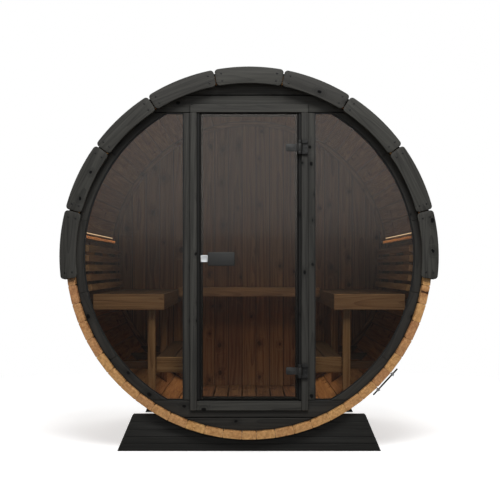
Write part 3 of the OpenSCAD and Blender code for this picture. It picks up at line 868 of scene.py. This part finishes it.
class SAUNA_OT_walls(bpy.types.Operator):
    """Builds the end walls from boards with open V joints"""

    bl_idname = "sauna.walls"
    bl_label = "End walls"

    def execute(self, context):
        timber = context.scene.sauna_timber
        pitch, gap = timber.wall_board, timber.groove
        across, up = Vector((1, 0, 0)), Vector((0, 0, 1))
        rear = wall_of_boards("rear_wall", across, -pitch / 2, pitch, gap, REAR_CHAMFER)
        # Only the weather side is stained.
        rear.data.materials.append(FINISH["lining"])
        inside = low("rear_wall").y + BARE_DEPTH
        for face in rear.data.polygons:
            face.material_index = 1 if face.center.y < inside else 0
        for name, first in (
            ("front_wall_top", low("front_wall_top").z),
            ("front_wall_bottom", high("front_wall_bottom").z),
        ):
            wall_of_boards(name, up, first, pitch, gap, FRONT_CHAMFER)
        return {"FINISHED"}


class SAUNA_OT_fascia(bpy.types.Operator):
    """Builds the arc boards over the barrel ends"""

    bl_idname = "sauna.fascia"
    bl_label = "Fascia boards"

    def execute(self, context):
        corner = context.scene.sauna_timber.fascia_corner
        for name in ("fascia_front", "fascia_rear"):
            boards, spots = [], []
            inner, outer = radii(name)
            y0, y1 = low(name).y, high(name).y
            for points in solids_of(name):
                angles = sorted(unwrapped(p) for p in points)
                middle, half = (angles[0] + angles[-1]) / 2, (angles[-1] - angles[0]) / 2
                boards.append(
                    arc_board(name + "_board", inner, outer, middle, half, y0, y1, corner)
                )
                spots += screw_spots(inner, outer, middle, half)
            row = joined(boards, name + "_boards")
            round_edges(row, FASCIA_EDGE, 3)
            lay_grain(row, name)
            finish_piece(row, name)
            face, out = (y0, -1) if y0 < 0 else (y1, 1)
            heads = [
                screw_head(Vector((x, face, z)), Vector((0, out, 0)), FASCIA_SCREW / 2)
                for x, z in spots
            ]
            screws = joined(heads, name + "_screws")
            dress(screws, "black_screw", BODY_OF[name], smooth=30)
        return {"FINISHED"}


def screw_spots(inner, outer, middle, half):
    """Places of the two screws at each end of an arc board."""
    spots = []
    for end in (-1, 1):
        angle = middle + end * (half - SCREW_FROM_END / inner)
        for radius in (inner + SCREW_FROM_INSIDE, outer - SCREW_FROM_OUTSIDE):
            spots.append((radius * math.cos(angle), AXIS_Z + radius * math.sin(angle)))
    return spots


def unwrapped(point):
    """Angle of a point about the axis, from straight down on the right over the top to the left."""
    angle = angle_of(point.x, point.z)
    return angle if angle > -math.pi / 2 else angle + 2 * math.pi


def arc_board(name, inner, outer, middle, half, y0, y1, corner):
    """One arc board: a radial edge spun round the axis, with rounded corners, then thickened."""
    wide = outer - inner
    bpy.ops.mesh.primitive_plane_add(
        size=wide, location=((inner + outer) / 2, y0, AXIS_Z), rotation=(math.pi / 2, 0, 0)
    )
    piece = added(name)
    edit(piece, "VERT", lambda v: v.co.z > AXIS_Z)
    bpy.ops.mesh.delete(type="VERT")
    bpy.ops.mesh.select_all(action="SELECT")
    bpy.ops.transform.translate(value=(0, 0, wide / 2))
    bpy.ops.mesh.spin(
        steps=12, angle=2 * half, center=(0, y0, AXIS_Z), axis=(0, -1, 0), dupli=False
    )
    bpy.ops.mesh.select_all(action="SELECT")
    bpy.ops.mesh.remove_doubles(threshold=DOUBLES)
    leave()
    # The spin goes down from +X, so half of it back puts the board's middle there.
    piece.data.transform(about_axis(half))
    reach = half - 0.001  # all but a milliradian of the way to the ends
    edit(piece, "VERT", lambda v: abs(angle_of(v.co.x, v.co.z)) > reach)
    bpy.ops.mesh.bevel(offset=corner, segments=5, affect="VERTICES", clamp_overlap=False)
    bpy.ops.mesh.select_all(action="SELECT")
    bpy.ops.mesh.extrude_region_move(TRANSFORM_OT_translate={"value": (0, y1 - y0, 0)})
    leave()
    outward(piece)
    piece.data.transform(about_axis(middle))
    return piece


# Roof


LEAST_TAB = 20 * MM  # no narrower piece of a tab is laid


def curved_tab(name, r_low, r_high, a_low, a_high, y0, y1, thick, rows=3):
    """One shingle tab, bent to the barrel: it rises from its upper edge to its lower edge."""
    bpy.ops.mesh.primitive_grid_add(x_subdivisions=1, y_subdivisions=rows, size=1)
    piece = added(name)
    for vertex in piece.data.vertices:
        share = vertex.co.y + 0.5
        radius = r_low + (r_high - r_low) * share
        angle = a_low + (a_high - a_low) * share
        y = y0 + (vertex.co.x + 0.5) * (y1 - y0)
        vertex.co = (radius * math.cos(angle), y, AXIS_Z + radius * math.sin(angle))
    shape(piece, "SOLIDIFY", thickness=thick, offset=0)
    return piece


class SAUNA_OT_roof(bpy.types.Operator):
    """Lays the shingles in courses up both sides, with caps along the ridge"""

    bl_idname = "sauna.roof"
    bl_label = "Shingle roof"

    def execute(self, context):
        roof = context.scene.sauna_roof
        inner, outer = radii("roof_cover")
        y0, y1 = low("roof_cover").y, high("roof_cover").y
        eave = min(unwrapped(v.co) for v in frame["nodes"]["roof_cover"].data.vertices)
        thick = roof.thick
        bed = inner + thick
        felt = (inner + bed) / 2
        pieces = [
            curved_tab("under_sheet", felt, felt, eave, math.pi - eave, y0, y1, bed - inner, 60)
        ]
        step = roof.exposure / outer
        courses = math.ceil((math.pi / 2 - eave - roof.ridge / 2 / outer) / step)
        r_low, r_high = outer - thick / 2, bed + thick / 2 + 0.5 * MM
        for side in (1, -1):
            for course in range(courses):
                a_low = eave + course * step
                a_high = a_low + (roof.exposure + roof.overlap) / outer
                shift = (course % 2) * roof.tab / 2
                pieces += course_of_tabs(roof, side, r_low, r_high, a_low, a_high, y0, y1, shift)
        pieces += ridge_caps(roof, outer, y0, y1)
        whole = joined(pieces, "roof_shingles")
        lay_shade(whole, "roof")
        finish_piece(whole, "roof_cover")
        return {"FINISHED"}


def course_of_tabs(roof, side, r_low, r_high, a_low, a_high, y0, y1, shift):
    """One course of tabs from front to rear."""
    ends = (a_low, a_high) if side > 0 else (math.pi - a_low, math.pi - a_high)
    tabs = []
    start = y0 - shift
    while start < y1:
        a = max(start + roof.slot / 2, y0)
        b = min(start + roof.tab - roof.slot / 2, y1)
        start += roof.tab
        if b - a > LEAST_TAB:
            tabs.append(curved_tab("tab", r_low, r_high, *ends, a, b, roof.thick))
    return tabs


def ridge_caps(roof, outer, y0, y1):
    """Caps that lap each other along the ridge."""
    half = roof.ridge / 2 / outer
    radius = outer + roof.thick / 2
    caps = []
    for k in range(math.ceil((y1 - y0) / roof.exposure)):
        a = y0 + k * roof.exposure
        b = min(a + roof.exposure + roof.overlap, y1)
        cap = curved_tab(
            "cap", radius, radius, math.pi / 2 - half, math.pi / 2 + half, a, b, roof.thick, 10
        )
        for vertex in cap.data.vertices:
            vertex.co.z += roof.thick * (1 - (vertex.co.y - a) / (b - a))
        caps.append(cap)
    return caps


def lay_shade(piece, seed):
    """Gives each loose part of a piece its own shade."""
    chance = random.Random(seed)
    shade = piece.data.attributes.new("shade", "FLOAT", "POINT")
    for numbers, _ in boards_of(piece.data):
        tone = chance.random()
        for i in numbers:
            shade.data[i].value = tone


# Metalwork


THREAD_PAST_NUT = 22 * MM  # how far the thread runs on inside the nuts
WASHER = 1.6 * MM
HINGE_PLATE = 6 * MM
HINGE_EDGE = 0.8 * MM
BRACKET_SCREW = 11 * MM  # from the outer edge of a bracket


class SAUNA_OT_bands(bpy.types.Operator):
    """Rounds the steel bands and threads their tensioners"""

    bl_idname = "sauna.bands"
    bl_label = "Bands and tensioners"

    def execute(self, context):
        for name in ("band_front", "band_rear"):
            piece = cad_copy(name, name + "_strip")
            round_edges(piece, 0.6 * MM)
            finish_piece(piece, name, smooth=30)
        bright, dark = [], []
        for points in solids_of("tension_rods"):
            nuts, threads = tensioner(points, context.scene.sauna_fitting)
            bright += nuts
            dark += threads
        dress(joined(bright, "tensioner_nuts"), "band_steel", "sauna", smooth=30)
        finish_piece(joined(dark, "tensioner_rods"), "tension_rods", smooth=30)
        return {"FINISHED"}


def tensioner(points, fitting):
    """Nuts with washers, and a rod with rolled threads, along the rod of a CAD solid."""
    middle = middle_of(points)
    along = round_the_barrel(middle)
    runs = [abs((p - middle).dot(along)) for p in points]
    widths = [((p - middle) - along * (p - middle).dot(along)).length for p in points]
    half = max(runs)
    radius = max(wide for run, wide in zip(runs, widths) if run > half - 0.1 * MM)
    nut_runs = [run for run, wide in zip(runs, widths) if wide > radius * 1.2]
    nut_start, nut_end, nut_radius = min(nut_runs), max(nut_runs), max(widths)
    plain = nut_start - THREAD_PAST_NUT
    core = radius - fitting.thread_depth
    threads = [rod("rod_core", middle - along * half, middle + along * half, core)]
    for k in range(int(2 * half / fitting.thread_pitch) - 1):
        run = -half + (k + 1) * fitting.thread_pitch
        if abs(run) >= plain:
            threads.append(thread(middle + along * run, along, radius, fitting))
    threads.append(rod("shank", middle - along * plain, middle + along * plain, radius * 0.97))
    nuts = []
    for side in (-1, 1):
        a, b = middle + along * side * nut_start, middle + along * side * nut_end
        nut = rod("nut", a, b, nut_radius, 6)
        round_edges(nut, 1 * MM)
        washer = rod("washer", a, a + along * side * WASHER, nut_radius * 1.25, 32)
        round_edges(washer, 0.4 * MM, 1)
        nuts += [nut, washer]
    return nuts, threads


def thread(at, along, radius, fitting):
    """One ridge of a rolled thread."""
    half = fitting.thread_pitch * 0.42
    ridge = rod("thread", at - along * half, at + along * half, radius - fitting.thread_depth, 20)
    edit(ridge, "EDGE", lambda e: abs((e.verts[0].co - e.verts[1].co).dot(along)) > half)
    bpy.ops.mesh.subdivide(number_cuts=1)
    leave()
    for vertex in ridge.data.vertices:
        offset = vertex.co - at
        run = offset.dot(along)
        if abs(run) < half / 2:
            out = offset - along * run
            vertex.co = at + along * run + out.normalized() * radius
    return ridge


class SAUNA_OT_fittings(bpy.types.Operator):
    """Shapes the hinges, the handle and the latch of the glass door"""

    bl_idname = "sauna.fittings"
    bl_label = "Door fittings"

    def execute(self, context):
        fitting = context.scene.sauna_fitting
        make_leaves(fitting)
        make_brackets(fitting)
        make_handle()
        make_latch()
        return {"FINISHED"}


def screw_head(at, outwards, radius):
    """A domed screw head with a hexagon socket."""
    head = rod("screw", at, at + outwards * radius * 0.45, radius, 24)
    edit(head, "FACE", lambda f: f.normal.dot(outwards) > 0.9)
    bpy.ops.mesh.inset(thickness=radius * 0.25, depth=radius * 0.12)
    bpy.ops.mesh.inset(thickness=radius * 0.3, depth=0)
    bpy.ops.mesh.inset(thickness=0, depth=-radius * 0.3)
    leave()
    return head


def make_leaves(fitting):
    """Moving hinge leaves: a knuckle, an arm and a plate with a rounded end and two screws."""
    plates = cad_copy("hinge_leaves", "hinge_leaf_plates")
    start = low("hinge_leaves").x
    close = 0.1 * MM

    def at_leaf_end(edge):
        a, b = (v.co for v in edge.verts)
        along_y = abs(a.y - b.y) > 3 * MM and abs(a.x - b.x) < close and abs(a.z - b.z) < close
        return along_y and (a.x - start) < close

    edit(plates, "EDGE", at_leaf_end)
    bpy.ops.mesh.bevel(offset=fitting.leaf_corner, segments=5, affect="EDGES")
    leave()

    def spots(lower, upper):
        return [(lower.lerp(upper, share).x, (lower.z + upper.z) / 2) for share in (0.22, 0.5)]

    screw_plates(plates, "hinge_leaves", low("door_glass").y, spots, fitting)


def make_brackets(fitting):
    """Fixed hinge halves with screws through their plates."""

    def spots(lower, upper):
        return [(upper.x - BRACKET_SCREW, lower.lerp(upper, share).z) for share in (0.2, 0.5, 0.8)]

    plates = cad_copy("hinge_brackets", "hinge_bracket_plates")
    screw_plates(plates, "hinge_brackets", low("door_casing").y, spots, fitting)


def screw_plates(plates, name, behind, spots, fitting):
    """Eases the edges of hinge plates and drives screws through them, into what is behind."""
    round_edges(plates, HINGE_EDGE)
    pieces = [plates]
    for box in boxes_of(name):
        for x, z in spots(*box):
            at = Vector((x, behind - HINGE_PLATE, z))
            pieces.append(screw_head(at, FORWARD, fitting.screw / 2))
    finish_piece(joined(pieces, plates.name), name, smooth=30)


def make_handle():
    """Handle plates with well rounded edges."""
    grips = [block("grip", lower, upper) for lower, upper in boxes_of("door_handle")]
    for grip in grips:
        round_edges(grip, 2.5 * MM, 4)
    finish_piece(joined(grips, "handle_plates"), "door_handle", smooth=30)


def make_latch():
    """Latch boxes, each with a raised rim round its outer face."""
    cases = []
    for lower, upper in boxes_of("door_latch"):
        case = block("latch_case", lower, upper)
        facing = FORWARD if lower.y < low("door_glass").y else -FORWARD
        edit(case, "FACE", lambda f, n=facing: f.normal.dot(n) > 0.9)
        bpy.ops.mesh.inset(thickness=5 * MM, depth=0)
        bpy.ops.mesh.inset(thickness=1 * MM, depth=-0.8 * MM)
        leave()
        round_edges(case, 1.2 * MM, 3)
        cases.append(case)
    finish_piece(joined(cases, "latch_cases"), "door_latch", smooth=30)


# Glass, lights and stage


GASKET_WIDTH = 6 * MM
GASKET_DEPTH = 4 * MM


class SAUNA_OT_glazing(bpy.types.Operator):
    """Glazes the windows and the door and lights the strips"""

    bl_idname = "sauna.glazing"
    bl_label = "Glass and light strips"

    def execute(self, context):
        for name in ("window_left", "window_right", "door_glass"):
            mesh = frame["nodes"][name].data
            mesh.materials.clear()
            mesh.materials.append(FINISH[SLOT_OF[name]])
        make_gaskets()
        make_strips()
        return {"FINISHED"}


def make_gaskets():
    """Rubber gaskets pressed round the outer face of each fixed pane."""
    rings = []
    for name in ("window_left", "window_right"):
        ring = cad_copy(name, name + "_gasket")
        edit(ring, "FACE", lambda f: f.normal.y > -0.9)
        bpy.ops.mesh.delete(type="FACE")
        bpy.ops.mesh.select_all(action="SELECT")
        bpy.ops.mesh.dissolve_faces()
        bpy.ops.mesh.inset(thickness=GASKET_WIDTH, depth=0)
        bpy.ops.mesh.delete(type="FACE")
        bpy.ops.mesh.select_all(action="SELECT")
        bpy.ops.mesh.extrude_region_move(TRANSFORM_OT_translate={"value": FORWARD * GASKET_DEPTH})
        leave()
        outward(ring)
        rings.append(ring)
    dress(joined(rings, "window_gaskets"), "rubber", "sauna", smooth=20)


def make_strips():
    """Light strips: a wooden channel with a narrow opal cover along its inner face."""
    channels, covers = [], []
    for lower, upper in boxes_of("light_strips"):
        channels.append(block("channel", lower, upper))
        side = 1 if lower.x > 0 else -1
        inner = lower.x if side > 0 else upper.x
        a = Vector((inner - side * 1.5 * MM, lower.y + 4 * MM, upper.z - 5.5 * MM))
        b = Vector((inner + side * 1 * MM, upper.y - 4 * MM, upper.z - 1.5 * MM))
        cover = block("cover", Vector(map(min, a, b)), Vector(map(max, a, b)))
        round_edges(cover, 0.8 * MM)
        covers.append(cover)
    body = joined(channels, "light_channels")
    round_edges(body, 1 * MM)
    lay_grain(body, "light_channels")
    dress(joined(covers, "light_covers"), "warm_light", "sauna")
    dress(body, "natural_wood", "sauna")
    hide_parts("light_strips")


class SAUNA_OT_stage(bpy.types.Operator):
    """Sets the floor, the lamps, the background and the camera"""

    bl_idname = "sauna.stage"
    bl_label = "Stage"

    def execute(self, context):
        stage = context.scene.sauna_stage
        bpy.ops.mesh.primitive_plane_add(size=60, location=(0, 0, -0.5 * MM))
        floor = added("floor")
        floor.data.materials.append(new_material("pale_floor", pale_floor, stage.floor))
        # The front lamp is a card that only shows in the glass and the gloss of the boards.
        card = add_lamp("lamp_front", (0.2, -9.0, 2.8), (0, -0.9, 1.3), (5.0, 2.8), 130)
        card.visible_diffuse = False
        add_lamp("lamp_key", (0.3, -4.3, 4.7), (0, -0.6, 1.1), (2.0, 2.0), 224)
        add_lamp("lamp_left", (-6.0, -0.5, 4.5), (0, 0, 1.0), (4.0, 4.0), 132)
        add_lamp("lamp_right", (6.0, 0.5, 4.5), (0, 0, 1.0), (4.0, 4.0), 132)
        add_lamp("lamp_rear", (0.0, 5.5, 4.2), (0, 0.9, 1.2), (3.0, 3.0), 160)
        add_lamp("lamp_inside", (0.0, -0.25, 1.93), (0, -0.2, 0.0), (0.5, 1.0), 2.5, spread=95)
        step = low("step_right").x + 110 * MM
        wall, strip = high("light_strips").x, low("light_strips").z
        for side in (-1, 1):
            # Low lamps under the two steps brighten the floor boards seen through the windows.
            add_lamp(
                f"lamp_step_{side + 1}", (side * step, 0.12, 0.42), (side * step, 0.12, 0.0),
                (0.12, 1.1), 0.44, (1.0, 0.78, 0.6), 105,
            )
            # Narrow lamps under the strips throw their light on the rails.
            add_lamp(
                f"lamp_strip_{side + 1}", (side * (wall - 48 * MM), -0.05, strip),
                (side * wall, -0.05, strip - 45 * MM), (1.4, 0.012), 0.14, (1.0, 0.72, 0.45), 80,
            )
        set_background(context.scene)
        set_camera(context.scene, stage)
        context.scene.view_settings.view_transform = "Standard"
        return {"FINISHED"}


def add_lamp(name, place, target, size, power, colour=(1, 1, 1), spread=180):
    """A soft rectangular lamp that faces a target, with its spread in degrees."""
    bpy.ops.object.light_add(type="AREA", location=place)
    lamp = bpy.context.active_object
    lamp.name = name
    lamp.data.shape = "RECTANGLE"
    lamp.data.size, lamp.data.size_y = size
    lamp.data.energy = power
    lamp.data.color = colour
    lamp.data.spread = math.radians(spread)
    direction = Vector(target) - Vector(place)
    lamp.rotation_euler = direction.to_track_quat("-Z", "Y").to_euler()
    lamp.visible_camera = False
    return lamp


def set_background(scene):
    """White to the eye and an even soft sky for light."""
    world = bpy.data.worlds.new("studio")
    scene.world = world
    world.use_nodes = True
    tree = world.node_tree
    tree.nodes.clear()
    path = node(tree, "LightPath", out=None)
    strength = node(tree, "MapRange", {0: path["Is Glossy Ray"], 3: 0.18, 4: 0.3})
    sky = node(tree, "Background", {"Color": WHITE, "Strength": strength})
    white = node(tree, "Background", {"Color": WHITE, "Strength": 1.0})
    mixed = node(tree, "MixShader", {0: seen_directly(tree, path), 1: sky, 2: white})
    node(tree, "OutputWorld", {0: mixed}, None)


def set_camera(scene, stage):
    """Level camera in front of the door."""
    front = low("staves_left").y
    bpy.ops.object.camera_add(
        location=(0, front - stage.distance, AXIS_Z - stage.camera_drop),
        rotation=(math.pi / 2, 0, 0),
    )
    camera = bpy.context.active_object
    camera.name = "camera"
    camera.data.lens = stage.lens
    camera.data.sensor_width = 36
    camera.data.shift_x = stage.shift_x
    camera.data.shift_y = stage.shift_y
    scene.camera = camera


class SAUNA_PT_panel(bpy.types.Panel):
    """Lists the steps and the settings of the sauna"""

    bl_idname = "SAUNA_PT_panel"
    bl_label = "Barrel Sauna"
    bl_space_type = "VIEW_3D"
    bl_region_type = "UI"
    bl_category = "Sauna"

    def draw(self, context):
        for group in SETTINGS:
            settings = getattr(context.scene, group)
            for key in settings.__annotations__:
                self.layout.prop(settings, key)
        for step in STEPS:
            self.layout.operator(step.bl_idname)


SETTINGS = {
    "sauna_timber": SaunaTimberSettings,
    "sauna_roof": SaunaRoofSettings,
    "sauna_fitting": SaunaFittingSettings,
    "sauna_glass": SaunaGlassSettings,
    "sauna_stage": SaunaStageSettings,
}
STEPS = [
    SAUNA_OT_timber, SAUNA_OT_walls, SAUNA_OT_fascia, SAUNA_OT_roof,
    SAUNA_OT_bands, SAUNA_OT_fittings, SAUNA_OT_glazing, SAUNA_OT_stage,
]


def register():
    """Registers the settings, the steps and the panel."""
    for group, kind in SETTINGS.items():
        bpy.utils.register_class(kind)
        setattr(bpy.types.Scene, group, bpy.props.PointerProperty(type=kind))
    for kind in [*STEPS, SAUNA_PT_panel]:
        bpy.utils.register_class(kind)


def unregister():
    """Takes back what register added."""
    for kind in reversed([*STEPS, SAUNA_PT_panel]):
        bpy.utils.unregister_class(kind)
    for group, kind in SETTINGS.items():
        delattr(bpy.types.Scene, group)
        bpy.utils.unregister_class(kind)


def main():
    """Runs every step in order."""
    register()
    make_finishes(bpy.context.scene)
    bpy.ops.sauna.timber()
    bpy.ops.sauna.walls()
    bpy.ops.sauna.fascia()
    bpy.ops.sauna.roof()
    bpy.ops.sauna.bands()
    bpy.ops.sauna.fittings()
    bpy.ops.sauna.glazing()
    bpy.ops.sauna.stage()


if __name__ == "__main__":
    main()
